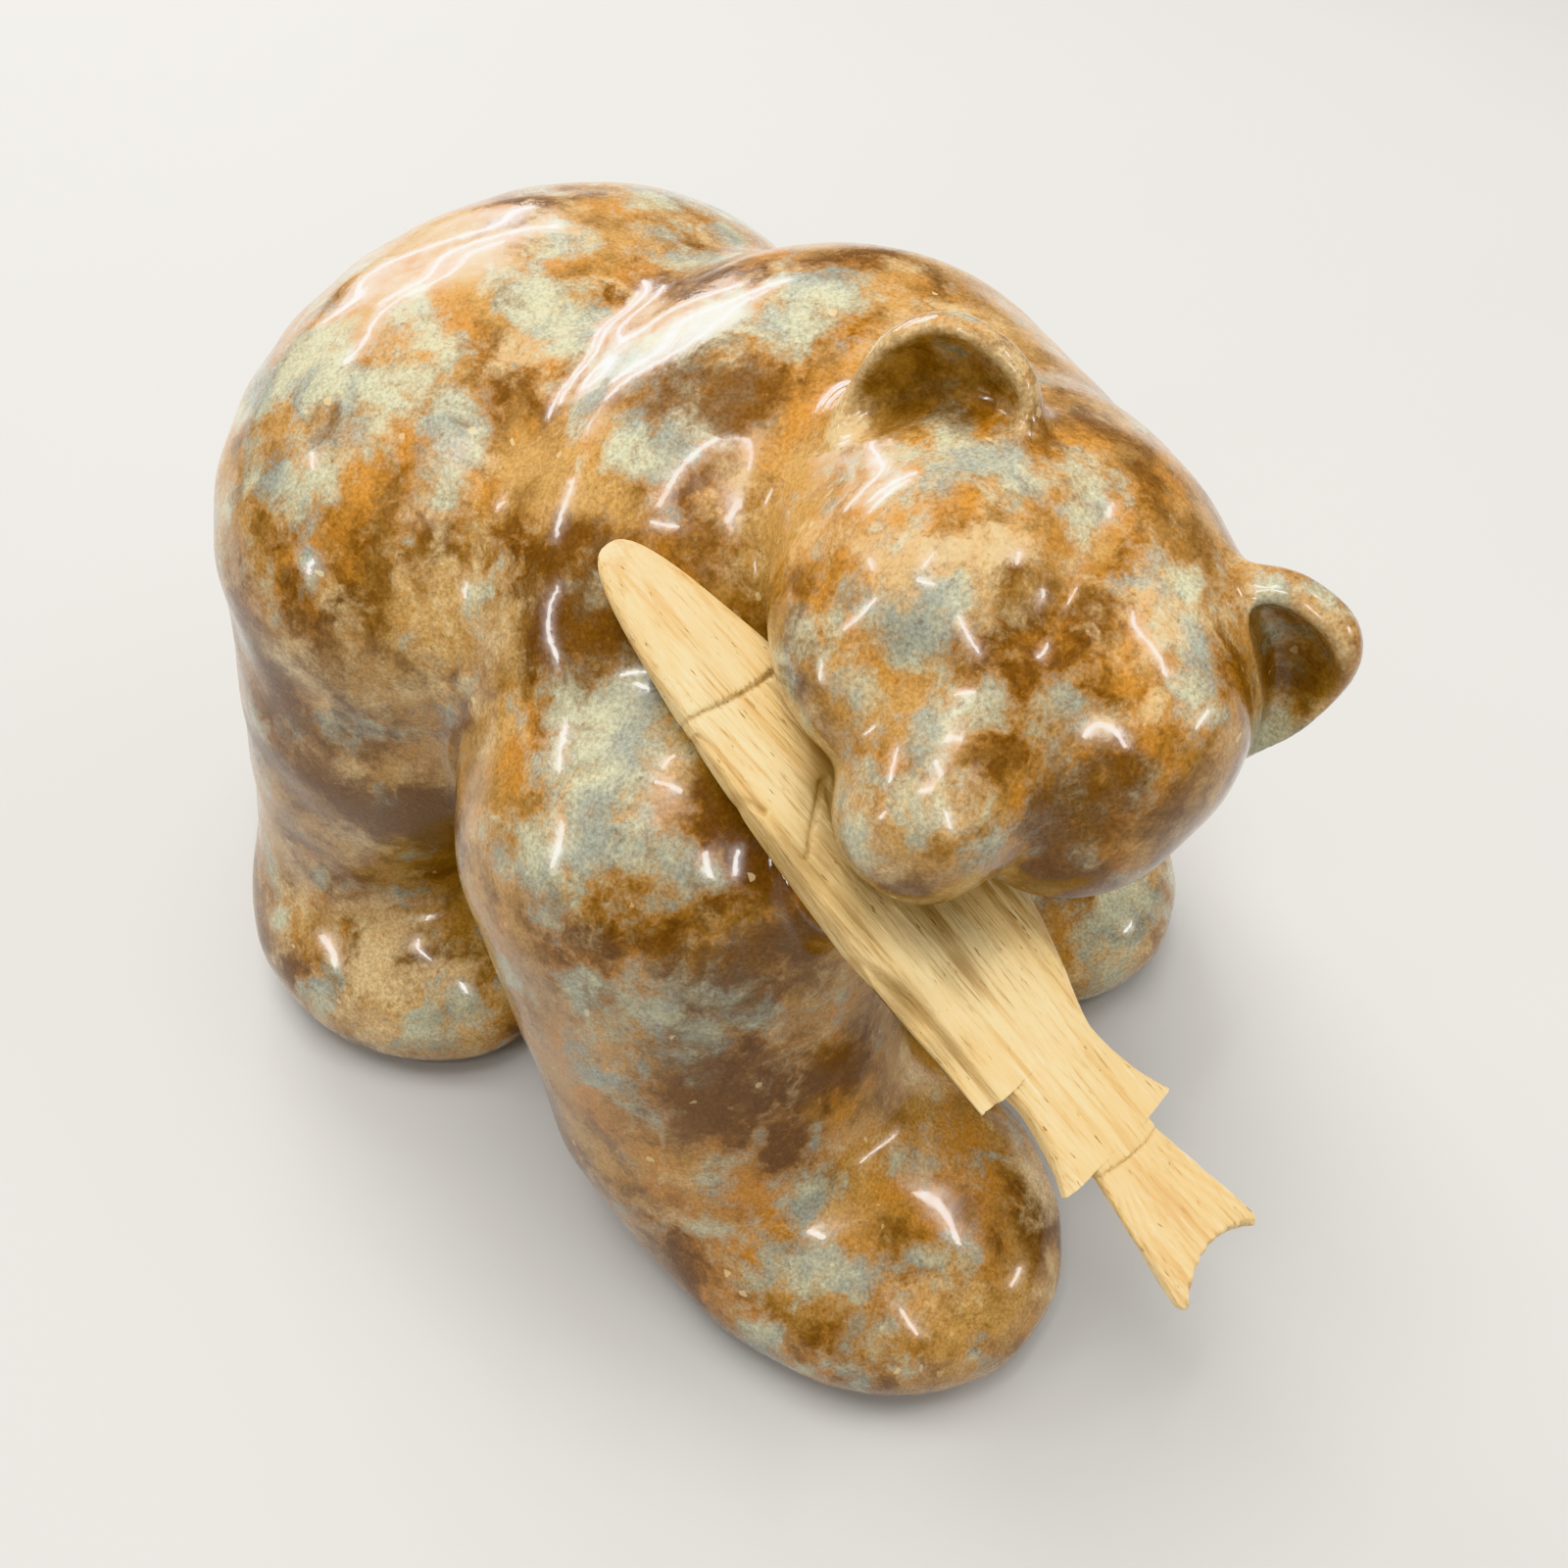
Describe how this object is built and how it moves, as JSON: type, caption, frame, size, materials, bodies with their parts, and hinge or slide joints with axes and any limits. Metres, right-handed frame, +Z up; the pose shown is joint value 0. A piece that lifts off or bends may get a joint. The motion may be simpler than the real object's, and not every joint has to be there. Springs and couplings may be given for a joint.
{
  "type": "soapstone bear carving",
  "caption": "Polished mottled stone carving of a standing bear, head turned aside, holding a carved bone fish crosswise in its mouth; a shelf or table ornament.",
  "frame": {"origin": "on the surface that the feet stand on, under the middle of the carving's box", "axes": "+Z up; the bear walks towards -Y and its right side is towards -X, where its head is turned"},
  "size_m": [0.122, 0.1616, 0.1226],
  "materials": {
    "stone": "highly polished mottled soapstone, ochre and brown with pale grey-green patches",
    "bone": "semi-gloss yellow-cream bone with fine long striations and carved grooves"
  },
  "bodies": {
    "root": {"bear": "stone", "fish": "bone"}
  },
  "joints": []
}
